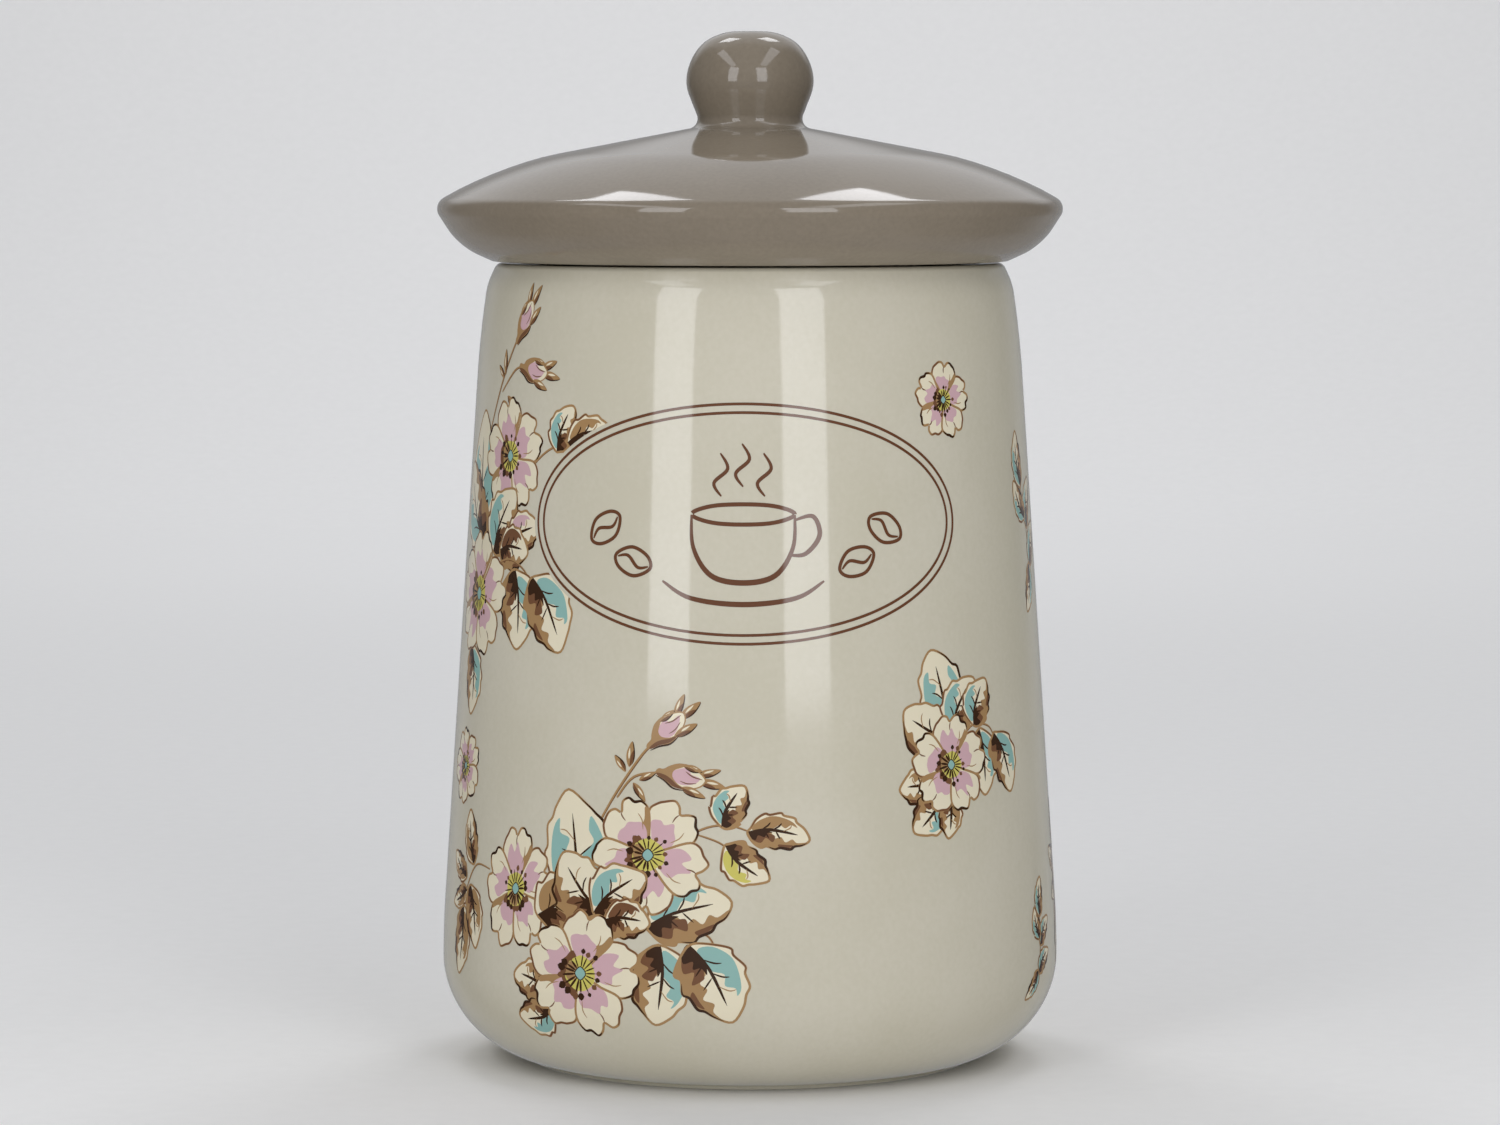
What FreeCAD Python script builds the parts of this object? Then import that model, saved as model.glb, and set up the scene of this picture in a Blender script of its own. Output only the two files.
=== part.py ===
"""A lidded coffee canister in glazed earthenware, as a parametric FreeCAD document.

Three separate pieces: the jar, the drain-cast lid with its ball knob, and the silicone seal ring
that sits in the groove round the lid's plug. All three are bodies of revolution about +Z.
The origin is the centre of the foot ring's bearing face and +Z points up. Millimetres.
"""
import FreeCAD, Part
import math
import os

import Sketcher
from FreeCAD import Vector

# Driving dimensions: alias, value in millimetres, what it is.
DIMENSIONS = [
    # the jar's outside
    ("rim_height", 139.7, "height of the jar's rim above the table"),
    ("belly_radius", 54.15, "widest radius, near the base"),
    ("base_height", 3.22, "height of the base corner, before rounding"),
    ("base_round", 17.5, "radius of the rounded base corner"),
    ("belly_height", 23.0, "height where the upright belly turns into the taper"),
    ("belly_blend", 150.0, "radius that blends the belly into the taper"),
    ("shoulder_height", 126.5, "height where the taper turns into the shoulder"),
    ("shoulder_radius", 47.35, "radius at that height"),
    ("shoulder_blend", 150.0, "radius that blends the taper into the shoulder"),
    ("collar_height", 136.0, "height where the shoulder turns in to the rim"),
    ("collar_radius", 46.0, "radius at that height"),
    ("collar_blend", 10.0, "rounding of that turn"),
    ("rim_radius", 44.3, "outer radius of the rim before it is rounded"),
    ("rim_round", 1.4, "outer rounding of the rim"),
    # the jar's inside
    ("mouth_radius", 39.5, "radius of the straight land inside the mouth"),
    ("mouth_round", 1.5, "inner rounding of the rim"),
    ("mouth_depth", 7.6, "height of the straight land"),
    ("wall", 4.7, "thickness of the cast wall"),
    ("floor_height", 6.6, "height of the inside floor above the table"),
    ("floor_round", 11.0, "inside corner between wall and floor"),
    ("inside_blend", 8.0, "inside rounding under the mouth land"),
    # the foot
    ("foot_outer", 39.6, "outer radius of the foot ring"),
    ("foot_height", 0.65, "how far the foot ring stands proud of the base"),
    ("foot_edge", 0.45, "rounding of the foot ring's outer edge"),
    ("foot_inner", 35.0, "inner radius of the foot ring at its root"),
    ("foot_recess", 1.9, "depth of the recess inside the foot ring"),
    ("foot_draft", 1.0, "how far the recess narrows over its depth"),
    ("foot_root", 0.8, "rounding at the root of the recess"),
    # the lid's outside
    ("seat_gap", 0.3, "gap that the seal keeps between rim and lid"),
    ("seat_radius", 45.15, "outer radius of the lid's flat seat"),
    ("seat_round", 0.6, "rounding where the seat turns into the underside"),
    ("under_radius", 50.98, "corner of the underside, before rounding"),
    ("under_height", 2.94, "height of that corner above the rim"),
    ("under_round", 11.5, "rounding of the underside"),
    ("edge_radius", 55.61, "corner of the lid's edge, before rounding"),
    ("edge_height", 10.13, "height of that corner above the rim"),
    ("edge_round", 2.25, "rounding of the lid's edge"),
    ("dome_radius", 44.1, "corner of the dome, before blending"),
    ("dome_height", 17.02, "height of that corner above the rim"),
    ("dome_blend", 60.0, "radius that blends the dome into its edge"),
    ("neck_radius", 8.55, "corner between the knob's neck and the dome"),
    ("neck_height", 23.8, "height of that corner above the rim"),
    ("neck_round", 1.8, "glaze fillet round the neck"),
    ("waist_radius", 11.05, "corner where the neck swells into the knob"),
    ("waist_height", 30.2, "height of that corner above the rim"),
    ("waist_round", 6.5, "rounding of that swelling"),
    ("ball_radius", 11.37, "corner of the knob's widest part, before rounding"),
    ("ball_height", 35.7, "height of that corner above the rim"),
    ("crown_radius", 5.63, "corner of the knob's flattened crown"),
    ("knob_top", 40.3, "height of the knob's top above the rim"),
    ("ball_round", 8.3, "rounding of the knob"),
    # the lid's plug and hollow
    ("plug_radius", 36.4, "outer radius of the plug that drops into the mouth"),
    ("plug_depth", 13.0, "how far the plug reaches below the rim"),
    ("plug_wall", 4.2, "thickness of the plug's wall"),
    ("plug_round", 1.9, "rounding of the plug's open edge"),
    ("plug_root", 1.0, "fillet between plug and seat"),
    ("skin", 4.3, "thickness of the drain-cast lid"),
    ("hollow_radius", 49.2, "reach of the hollow into the lid's edge, before rounding"),
    ("hollow_height", 7.6, "height of that corner above the rim"),
    ("hollow_round", 1.8, "rounding of the hollow's corners"),
    ("hollow_blend", 15.0, "rounding of the hollow under the dome"),
    ("drain_radius", 4.5, "radius of the hole that leads into the knob"),
    ("drain_round", 1.4, "rounding of that hole's edge"),
    ("bulb_radius", 6.6, "widest radius of the hollow inside the knob"),
    ("bulb_round", 4.6, "rounding of that hollow"),
    # the seal ring and its groove
    ("groove_depth", 1.0, "depth of the groove in the plug"),
    ("groove_top", 1.2, "distance from the rim down to the groove"),
    ("groove_height", 7.4, "height of the groove"),
    ("seal_play", 0.1, "gap between the ring and its groove all round"),
    ("seal_band", 1.6, "thickness of the ring's band"),
    ("fin_radius", 39.2, "outer radius of the fins as they bear in the mouth"),
    ("fin_thick", 0.75, "thickness of a fin at its tip"),
    ("fin_tip", 0.3, "rounding of a fin's tip"),
    ("fin_flare", 0.35, "how much thicker a fin is at its root, on each side"),
    ("fin_rise", 0.7, "how far a fin's tip is pushed up by the mouth"),
    ("fin_pitch", 2.2, "distance from one fin to the next"),
    ("fin_first", 1.4, "height of the lowest fin's middle above the band's foot"),
]
FIN_COUNT = 3
SHEET = "sizes"

# Heights of the driving points, all measured from the table, as expressions of the sheet.
SEAT = "sizes.rim_height + sizes.seat_gap"
PLUG_FOOT = "sizes.rim_height - sizes.plug_depth"
GROOVE_TOP = "sizes.rim_height - sizes.groove_top"
GROOVE_FOOT = f"{GROOVE_TOP} - sizes.groove_height"
NO_ROUND = "0"


def above_rim(alias, less="0"):
    """The height of a lid point that the sheet gives from the jar's rim up."""
    return f"sizes.rim_height + sizes.{alias} - ({less})"


def make_sheet(doc):
    """The spreadsheet of driving dimensions: a name, a number and a note on each row."""
    sheet = doc.addObject("Spreadsheet::Sheet", SHEET)
    for row, (alias, value, note) in enumerate(DIMENSIONS, start=1):
        sheet.set(f"A{row}", alias)
        sheet.set(f"B{row}", str(value))
        sheet.set(f"C{row}", note)
        sheet.setAlias(f"B{row}", alias)
    doc.recompute()
    return sheet


def new_sketch(body, name):
    """A sketch on the body's own XZ plane, where x is the radius and y the height."""
    sketch = body.newObject("Sketcher::SketchObject", name)
    plane = next(f for f in body.Origin.OriginFeatures if f.Role == "XZ_Plane")
    sketch.AttachmentSupport = (plane, [""])
    sketch.MapMode = "FlatFace"
    return sketch


def pin_point(sketch, geometry, end, x_rule, y_rule):
    """Holds one point at a radius and a height that follow the sheet."""
    for kind, rule, axis in (("DistanceX", x_rule, -2), ("DistanceY", y_rule, -1)):
        if rule == "0":
            sketch.addConstraint(Sketcher.Constraint("PointOnObject", geometry, end, axis))
            continue
        value = float(sketch.evalExpression(rule))
        constraint = Sketcher.Constraint(kind, -1, 1, geometry, end, value)
        index = sketch.addConstraint(constraint)
        sketch.setExpression(f"Constraints[{index}]", rule)


def rounded_outline(sketch, corners):
    """Draws a closed outline. Each corner is (radius, height, rounding), all as expressions;
    a rounding of "0" leaves the corner sharp, any other puts an arc tangent to both sides."""
    count = len(corners)
    spots = [Vector(float(sketch.evalExpression(x)), float(sketch.evalExpression(y)), 0)
             for x, y, _ in corners]
    rounds = [float(sketch.evalExpression(r)) for _, _, r in corners]
    entry, leave, arcs = [], [], []
    for i, spot in enumerate(spots):
        back = (spots[i - 1] - spot).normalize()
        ahead = (spots[(i + 1) % count] - spot).normalize()
        half = back.getAngle(ahead) / 2
        reach = rounds[i] / math.tan(half)
        entry.append(spot + back * reach)
        leave.append(spot + ahead * reach)
        if rounds[i]:
            middle = (back + ahead).normalize()
            to_centre = math.hypot(rounds[i], reach)
            arcs.append(Part.Arc(entry[i], spot + middle * (to_centre - rounds[i]), leave[i]))
        else:
            arcs.append(None)
    sides = [sketch.addGeometry(Part.LineSegment(leave[i], entry[(i + 1) % count]), False)
             for i in range(count)]
    for i, (x_rule, y_rule, round_rule) in enumerate(corners):
        before, after = sides[i - 1], sides[i]
        if arcs[i] is None:
            sketch.addConstraint(Sketcher.Constraint("Coincident", before, 2, after, 1))
            pin_point(sketch, after, 1, x_rule, y_rule)
            continue
        mark = sketch.addGeometry(Part.Point(spots[i]), True)
        pin_point(sketch, mark, 1, x_rule, y_rule)
        sketch.addConstraint(Sketcher.Constraint("PointOnObject", mark, 1, before))
        sketch.addConstraint(Sketcher.Constraint("PointOnObject", mark, 1, after))
        arc = sketch.addGeometry(arcs[i], False)
        # an arc is kept counter-clockwise, so its own start may be either end of the corner
        starts = sketch.getPoint(arc, 1).distanceToPoint(entry[i]) < 1e-6
        first, last = (1, 2) if starts else (2, 1)
        sketch.addConstraint(Sketcher.Constraint("Tangent", before, 2, arc, first))
        sketch.addConstraint(Sketcher.Constraint("Tangent", arc, last, after, 1))
        radius = sketch.addConstraint(Sketcher.Constraint("Radius", arc, rounds[i]))
        sketch.setExpression(f"Constraints[{radius}]", round_rule)


def revolve(body, kind, name, corners):
    """A full turn of an outline about the body's Z axis: a Revolution adds, a Groove cuts."""
    sketch = new_sketch(body, f"{name}_outline")
    rounded_outline(sketch, corners)
    feature = body.newObject(kind, name)
    feature.Profile = sketch
    feature.ReferenceAxis = (sketch, ["V_Axis"])
    feature.Angle = 360.0
    sketch.Visibility = False
    body.Document.recompute()
    return feature


def make_jar(doc):
    """The slip-cast jar: tapered wall, rounded base, foot ring and a rolled rim."""
    body = doc.addObject("PartDesign::Body", "jar")
    body.Label = "jar"
    revolve(body, "PartDesign::Revolution", "jar_outside", [
        ("0", "0", NO_ROUND),
        ("sizes.foot_outer", "0", "sizes.foot_edge"),
        ("sizes.foot_outer", "sizes.foot_height", NO_ROUND),
        ("sizes.belly_radius", "sizes.base_height", "sizes.base_round"),
        ("sizes.belly_radius", "sizes.belly_height", "sizes.belly_blend"),
        ("sizes.shoulder_radius", "sizes.shoulder_height", "sizes.shoulder_blend"),
        ("sizes.collar_radius", "sizes.collar_height", "sizes.collar_blend"),
        ("sizes.rim_radius", "sizes.rim_height", "sizes.rim_round"),
        ("0", "sizes.rim_height", NO_ROUND),
    ])
    # The cutter stands above the rim so that its rounded lip leaves the rim's inner edge rolled.
    revolve(body, "PartDesign::Groove", "jar_inside", [
        ("0", "sizes.floor_height", NO_ROUND),
        ("sizes.belly_radius - sizes.wall", "sizes.floor_height", "sizes.floor_round"),
        ("sizes.belly_radius - sizes.wall", "sizes.belly_height", "sizes.belly_blend"),
        ("sizes.shoulder_radius - sizes.wall", "sizes.shoulder_height", "sizes.inside_blend"),
        ("sizes.mouth_radius", "sizes.rim_height - sizes.mouth_depth", "sizes.inside_blend"),
        ("sizes.mouth_radius", "sizes.rim_height", "sizes.mouth_round"),
        ("sizes.rim_radius", "sizes.rim_height", NO_ROUND),
        ("sizes.rim_radius", "sizes.rim_height + sizes.wall", NO_ROUND),
        ("0", "sizes.rim_height + sizes.wall", NO_ROUND),
    ])
    revolve(body, "PartDesign::Groove", "foot_recess_cut", [
        ("0", "-sizes.foot_recess", NO_ROUND),
        ("sizes.foot_inner + sizes.foot_draft", "-sizes.foot_recess", NO_ROUND),
        ("sizes.foot_inner", "sizes.foot_recess", "sizes.foot_root"),
        ("0", "sizes.foot_recess", NO_ROUND),
    ])
    return body


def make_lid(doc):
    """The drain-cast lid: dome, rolled edge, plug and ball knob as one hollow fired piece."""
    body = doc.addObject("PartDesign::Body", "lid")
    body.Label = "lid"
    inner_plug = "sizes.plug_radius - sizes.plug_wall"
    revolve(body, "PartDesign::Revolution", "lid_outside", [
        ("0", PLUG_FOOT, NO_ROUND),
        ("sizes.plug_radius", PLUG_FOOT, "sizes.plug_round"),
        ("sizes.plug_radius", SEAT, "sizes.plug_root"),
        ("sizes.seat_radius", SEAT, "sizes.seat_round"),
        ("sizes.under_radius", above_rim("under_height"), "sizes.under_round"),
        ("sizes.edge_radius", above_rim("edge_height"), "sizes.edge_round"),
        ("sizes.dome_radius", above_rim("dome_height"), "sizes.dome_blend"),
        ("sizes.neck_radius", above_rim("neck_height"), "sizes.neck_round"),
        ("sizes.waist_radius", above_rim("waist_height"), "sizes.waist_round"),
        ("sizes.ball_radius", above_rim("ball_height"), "sizes.ball_round"),
        ("sizes.crown_radius", above_rim("knob_top"), "sizes.ball_round"),
        ("0", above_rim("knob_top"), NO_ROUND),
    ])
    revolve(body, "PartDesign::Groove", "lid_hollow", [
        ("0", f"{PLUG_FOOT} - sizes.skin", NO_ROUND),
        (inner_plug, f"{PLUG_FOOT} - sizes.skin", NO_ROUND),
        (inner_plug, f"{SEAT} + sizes.skin", "sizes.hollow_round"),
        ("sizes.seat_radius", f"{SEAT} + sizes.skin", "sizes.hollow_round"),
        ("sizes.hollow_radius", above_rim("hollow_height"), "sizes.hollow_round"),
        ("sizes.dome_radius", above_rim("dome_height", "sizes.skin"), "sizes.hollow_blend"),
        ("sizes.drain_radius", above_rim("neck_height", "sizes.skin"), "sizes.drain_round"),
        ("sizes.drain_radius", above_rim("neck_height"), "sizes.drain_round"),
        ("sizes.bulb_radius", above_rim("waist_height"), "sizes.bulb_round"),
        ("sizes.bulb_radius", above_rim("knob_top", "sizes.skin"), "sizes.bulb_round"),
        ("0", above_rim("knob_top", "sizes.skin"), NO_ROUND),
    ])
    revolve(body, "PartDesign::Groove", "seal_groove", [
        ("sizes.plug_radius - sizes.groove_depth", GROOVE_FOOT, NO_ROUND),
        ("sizes.plug_radius + sizes.groove_depth", GROOVE_FOOT, NO_ROUND),
        ("sizes.plug_radius + sizes.groove_depth", GROOVE_TOP, NO_ROUND),
        ("sizes.plug_radius - sizes.groove_depth", GROOVE_TOP, NO_ROUND),
    ])
    return body


def make_seal(doc):
    """The silicone ring: a flat band in the plug's groove with three fins that bear in the mouth."""
    body = doc.addObject("PartDesign::Body", "lid_seal")
    body.Label = "lid_seal"
    inner = "sizes.plug_radius - sizes.groove_depth + sizes.seal_play"
    outer = f"{inner} + sizes.seal_band"
    foot = f"{GROOVE_FOOT} + sizes.seal_play"
    top = f"{GROOVE_TOP} - sizes.seal_play"
    corners = [(inner, foot, NO_ROUND), (outer, foot, NO_ROUND)]
    for fin in range(FIN_COUNT):
        middle = f"{foot} + sizes.fin_first + {fin} * sizes.fin_pitch"
        half_tip = "sizes.fin_thick / 2"
        corners += [
            (outer, f"{middle} - {half_tip} - sizes.fin_flare", NO_ROUND),
            ("sizes.fin_radius", f"{middle} + sizes.fin_rise - {half_tip}", "sizes.fin_tip"),
            ("sizes.fin_radius", f"{middle} + sizes.fin_rise + {half_tip}", "sizes.fin_tip"),
            (outer, f"{middle} + {half_tip} + sizes.fin_flare", NO_ROUND),
        ]
    corners += [(outer, top, NO_ROUND), (inner, top, NO_ROUND)]
    revolve(body, "PartDesign::Revolution", "seal_section", corners)
    return body


def check(doc, bodies):
    """Stops the macro if any object failed, or a body isn't one valid solid."""
    for item in doc.Objects:
        if "Invalid" in item.State or "Error" in item.State:
            raise RuntimeError(f"{item.Label} failed: {item.State}")
    for item in doc.Objects:
        if item.isDerivedFrom("Sketcher::SketchObject") and item.solve() != 0:
            raise RuntimeError(f"{item.Label} doesn't solve")
    for body in bodies:
        shape = body.Shape
        if shape.isNull() or not shape.isValid() or len(shape.Solids) != 1:
            raise RuntimeError(f"{body.Label} isn't one valid solid")


def main():
    doc = FreeCAD.newDocument("coffee_canister")
    make_sheet(doc)
    bodies = [make_jar(doc), make_lid(doc), make_seal(doc)]
    doc.recompute()
    check(doc, bodies)
    os.makedirs("parts", exist_ok=True)
    for body in bodies:
        body.Shape.exportStep(os.path.join("parts", f"{body.Label}.step"))
        box = body.Shape.BoundBox
        print(f"{body.Label}: {body.Shape.Volume / 1000:.1f} cm3, "
              f"{box.XLength:.1f} x {box.YLength:.1f} x {box.ZLength:.1f} mm, "
              f"z {box.ZMin:.1f} to {box.ZMax:.1f}")


main()
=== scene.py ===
"""A glazed coffee canister with a printed label and dog roses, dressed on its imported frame.

Metres, +Z up, on the table at the origin. The label faces -Y.
"""
import math
import random

import bmesh
import bpy
from mathutils import Matrix, Vector, geometry
from mathutils.bvhtree import BVHTree


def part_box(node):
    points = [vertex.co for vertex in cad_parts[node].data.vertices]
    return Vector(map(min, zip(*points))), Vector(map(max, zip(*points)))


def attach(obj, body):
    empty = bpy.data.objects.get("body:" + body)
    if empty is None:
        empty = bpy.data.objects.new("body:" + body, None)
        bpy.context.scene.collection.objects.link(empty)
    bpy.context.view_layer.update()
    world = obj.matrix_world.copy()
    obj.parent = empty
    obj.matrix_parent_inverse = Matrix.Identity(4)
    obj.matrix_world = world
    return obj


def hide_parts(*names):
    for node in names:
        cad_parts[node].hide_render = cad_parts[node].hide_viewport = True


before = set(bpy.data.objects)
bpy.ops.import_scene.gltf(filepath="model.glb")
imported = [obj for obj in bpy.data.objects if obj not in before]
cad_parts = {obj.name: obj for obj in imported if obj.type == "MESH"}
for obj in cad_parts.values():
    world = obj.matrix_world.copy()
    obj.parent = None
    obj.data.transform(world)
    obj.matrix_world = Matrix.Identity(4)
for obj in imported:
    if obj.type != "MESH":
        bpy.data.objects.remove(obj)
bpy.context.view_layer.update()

# --- The jar ------------------------------------------------------------------------------------
# Slip-cast earthenware: one wall drawn in from a rounded base to the mouth, on a shallow foot ring.
# It is dipped in a cream gloss glaze and fired standing on its foot, whose bearing face stays bare.

MM = 0.001
FULL_TURN = 2 * math.pi
# facets round the axis, and the turn and the least length of the facets that round a corner
AROUND, FACET_DEGREES, SHORTEST_FACET = 256, 3.0, 0.12
RIM, RIM_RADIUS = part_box("jar")[1].z / MM, 44.3
WALL, FLOOR_HEIGHT = 4.7, 6.6
BELLY_RADIUS, BELLY_HEIGHT = 54.15, 23.0
SHOULDER_RADIUS, SHOULDER_HEIGHT = 47.35, 126.5
COLLAR_RADIUS, COLLAR_HEIGHT = 46.0, 136.0
MOUTH_RADIUS, MOUTH_DEPTH = 39.5, 7.6
FOOT_INNER, FOOT_OUTER = 34.5, 39.6
FOOT_RECESS, FOOT_HEIGHT, UNDERSIDE_HEIGHT = 1.9, 0.65, 3.22
# how far up the foot the glaze is wiped off
WIPED = 0.05
# the glaze's patterns: how wide its drift of colour and its ripple are, and how far apart its
# specks of iron lie, with their core and edge as shares of that
DRIFT, RIPPLE, SPECK_SPACING = 28, 7, 2.6
SPECK_CORE, SPECK_EDGE = 0.05, 0.085


def turned(corners):
    """A pot form turned from its section. Each corner is (radius, height, rounding) in mm: the
    corners are joined by straight runs, rounded one by one, and the line is spun about Z."""
    pot = bmesh.new()
    spots = [pot.verts.new((radius * MM, 0, height * MM)) for radius, height, _ in corners]
    for start, end in zip(spots, spots[1:]):
        pot.edges.new((start, end))
    for spot, (_, _, rounding) in zip(spots, corners):
        if rounding:
            back, ahead = (edge.other_vert(spot).co - spot.co for edge in spot.link_edges)
            between = back.angle(ahead)
            fine = math.ceil(math.degrees(math.pi - between) / FACET_DEGREES)
            facets = max(4, min(fine, round(rounding * (math.pi - between) / SHORTEST_FACET)))
            bmesh.ops.bevel(pot, geom=[spot], offset=rounding * MM / math.tan(between / 2),
                            offset_type="OFFSET", segments=facets, profile=0.5,
                            affect="VERTICES", material=-1)
    bmesh.ops.spin(pot, geom=pot.verts[:] + pot.edges[:], cent=(0, 0, 0), axis=(0, 0, 1),
                   angle=FULL_TURN, steps=AROUND, use_merge=True)
    bmesh.ops.remove_doubles(pot, verts=pot.verts[:], dist=0.002 * MM)
    bmesh.ops.recalc_face_normals(pot, faces=pot.faces[:])
    return pot


def in_scene(name, data):
    """Puts a mesh, a light or a camera in the scene under this name."""
    made = bpy.data.objects.new(name, data)
    bpy.context.scene.collection.objects.link(made)
    return made


def smooth_mesh(name, form, materials):
    """Turns a bmesh into a smooth-shaded mesh in the scene that shows these materials."""
    mesh = bpy.data.meshes.new(name)
    form.to_mesh(mesh)
    mesh.shade_smooth()
    for material in materials:
        mesh.materials.append(material)
    return in_scene(name, mesh)


def fix_to(body, made):
    """Makes a piece ride on a body."""
    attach(made, body)
    return made


def colour(code):
    """The linear colour of an sRGB hex value."""
    shares = [int(code[i:i + 2], 16) / 255 for i in (0, 2, 4)]
    return (*[s / 12.92 if s < 0.04045 else ((s + 0.055) / 1.055) ** 2.4 for s in shares], 1.0)


def add_node(material, kind, values=(), links=(), **settings):
    """Adds a shader node: settings are its properties, values and links go to its inputs."""
    made = material.node_tree.nodes.new(kind)
    for name, value in settings.items():
        setattr(made, name, value)
    for name, value in dict(values).items():
        made.inputs[name].default_value = value
    for name, source in dict(links).items():
        material.node_tree.links.new(source, made.inputs[name])
    return made


def finish_of(name, **values):
    """A new material whose shader has these constant values. Returns it and its shader node."""
    material = bpy.data.materials.new(name)
    material.use_nodes = True
    shader = material.node_tree.nodes["Principled BSDF"]
    for socket, value in values.items():
        shader.inputs[socket.replace("_", " ")].default_value = value
    return material, shader


def glaze(name, body_colour, thin_colour, speck_colour, speck_share, roughness, grain):
    """Fired gloss glaze. Its colour drifts where it lies thinner, with fine specks of iron in it,
    and its skin has the faint ripple that a dipped glaze keeps."""
    material, shader = finish_of(name, IOR=1.52, Specular_IOR_Level=0.5)
    place = add_node(material, "ShaderNodeTexCoord").outputs["Object"]
    drift = add_node(material, "ShaderNodeTexNoise", {"Scale": 1 / (DRIFT * MM), "Detail": 2.0},
                     {"Vector": place})
    fine = add_node(material, "ShaderNodeTexNoise", {"Scale": 1 / (grain * MM), "Detail": 1.5},
                    {"Vector": place})
    mottle = add_node(material, "ShaderNodeMath", {1: 0.45},
                      {0: fine.outputs["Fac"], 2: drift.outputs["Fac"]},
                      operation="MULTIPLY_ADD")
    tone = add_node(material, "ShaderNodeMapRange",
                    {"From Min": 0.55, "From Max": 0.9}, {"Value": mottle.outputs[0]})
    ground = add_node(material, "ShaderNodeMix", {"A": colour(body_colour), "B": colour(thin_colour)},
                      {"Factor": tone.outputs[0]}, data_type="RGBA")
    cells = add_node(material, "ShaderNodeTexVoronoi", {"Scale": 1 / (SPECK_SPACING * MM)},
                     {"Vector": place})
    near = add_node(material, "ShaderNodeMapRange",
                    {"From Min": SPECK_EDGE, "From Max": SPECK_CORE},
                    {"Value": cells.outputs["Distance"]})
    chosen = add_node(material, "ShaderNodeMath", {1: speck_share},
                      {0: cells.outputs["Color"]}, operation="LESS_THAN")
    speck = add_node(material, "ShaderNodeMath", (),
                     {0: near.outputs[0], 1: chosen.outputs[0]}, operation="MULTIPLY")
    surface = add_node(material, "ShaderNodeMix", {"B": colour(speck_colour)},
                       {"Factor": speck.outputs[0], "A": ground.outputs["Result"]},
                       data_type="RGBA")
    links = material.node_tree.links
    links.new(surface.outputs["Result"], shader.inputs["Base Color"])
    gloss = add_node(material, "ShaderNodeMapRange",
                     {"To Min": roughness * 0.85, "To Max": roughness * 1.2},
                     {"Value": drift.outputs["Fac"]})
    links.new(gloss.outputs[0], shader.inputs["Roughness"])
    ripple = add_node(material, "ShaderNodeTexNoise", {"Scale": 1 / (RIPPLE * MM), "Detail": 1.0},
                      {"Vector": place})
    skin = add_node(material, "ShaderNodeBump", {"Strength": 0.08, "Distance": 0.05 * MM},
                    {"Height": ripple.outputs["Fac"]})
    links.new(skin.outputs[0], shader.inputs["Normal"])
    return material


def bare_clay():
    """Unglazed earthenware where the foot is wiped: matt, buff and gritty."""
    material, shader = finish_of("unglazed_earthenware", Roughness=0.85, IOR=1.45)
    place = add_node(material, "ShaderNodeTexCoord").outputs["Object"]
    grit = add_node(material, "ShaderNodeTexNoise", {"Scale": 1 / (0.6 * MM), "Detail": 4.0},
                    {"Vector": place})
    clay = add_node(material, "ShaderNodeMix", {"A": colour("c9bba2"), "B": colour("e3d9c6")},
                    {"Factor": grit.outputs["Fac"]}, data_type="RGBA")
    tooth = add_node(material, "ShaderNodeBump", {"Strength": 0.5, "Distance": 0.1 * MM},
                     {"Height": grit.outputs["Fac"]})
    material.node_tree.links.new(clay.outputs["Result"], shader.inputs["Base Color"])
    material.node_tree.links.new(tooth.outputs[0], shader.inputs["Normal"])
    return material


jar_outside = [
    (0, FOOT_RECESS, 0),
    (FOOT_INNER, FOOT_RECESS, 0.8),
    (FOOT_INNER, 0, 0),
    (FOOT_OUTER, 0, 0.45),
    (FOOT_OUTER, FOOT_HEIGHT, 0.1),
    (BELLY_RADIUS, UNDERSIDE_HEIGHT, 17.5),
    (BELLY_RADIUS, BELLY_HEIGHT, 150),
    (SHOULDER_RADIUS, SHOULDER_HEIGHT, 150),
    (COLLAR_RADIUS, COLLAR_HEIGHT, 10),
    (RIM_RADIUS, RIM, 1.4),
]
jar_inside = [
    (MOUTH_RADIUS, RIM, 1.5),
    (MOUTH_RADIUS, RIM - MOUTH_DEPTH, 8),
    (SHOULDER_RADIUS - WALL, SHOULDER_HEIGHT, 8),
    (BELLY_RADIUS - WALL, BELLY_HEIGHT, 40),
    (BELLY_RADIUS - WALL, FLOOR_HEIGHT, 11),
    (0, FLOOR_HEIGHT, 0),
]
cream_glaze = glaze("cream_gloss_glaze", "d4ceb9", "dad4c1", "9a7a58", 0.02, 0.07, 0.9)
jar_form = turned(jar_outside + jar_inside)
for face in jar_form.faces:
    if max(vert.co.z for vert in face.verts) < WIPED * MM:
        face.material_index = 1
jar_skin = BVHTree.FromBMesh(jar_form)
jar_body = smooth_mesh("jar_body", jar_form, [cream_glaze, bare_clay()])
fix_to("jar", jar_body)
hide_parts("jar")

# --- The printed transfers ----------------------------------------------------------------------
# Ceramic ink transfers, screen-printed flat in solid colours, slid onto the glaze and fired in.
# Each drawing is laid out flat in mm, x round the jar and y up it, and is then wrapped on.

INKS = {
    "umber": "6d4630",
    "sepia": "3e2716",
    "brown": "7a543a",
    "tan": "ae8a5e",
    "cream": "f2e8cc",
    "pink": "dab4ba",
    "aqua": "96c0b8",
    "yellow": "d6cc6a",
}
# the radius that x is measured round, how far the film stands off the glaze, the widest strip of
# it that stays flat, and the margin round a drawing that the strips' cuts run out into
ROUND_RADIUS, FILM, SLICE, MARGIN = 51.0, 0.03, 1.25, 0.1
# stands in an ink's place where a drawing is cut away to the glaze
BARE = None
hand = random.Random(11)


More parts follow.
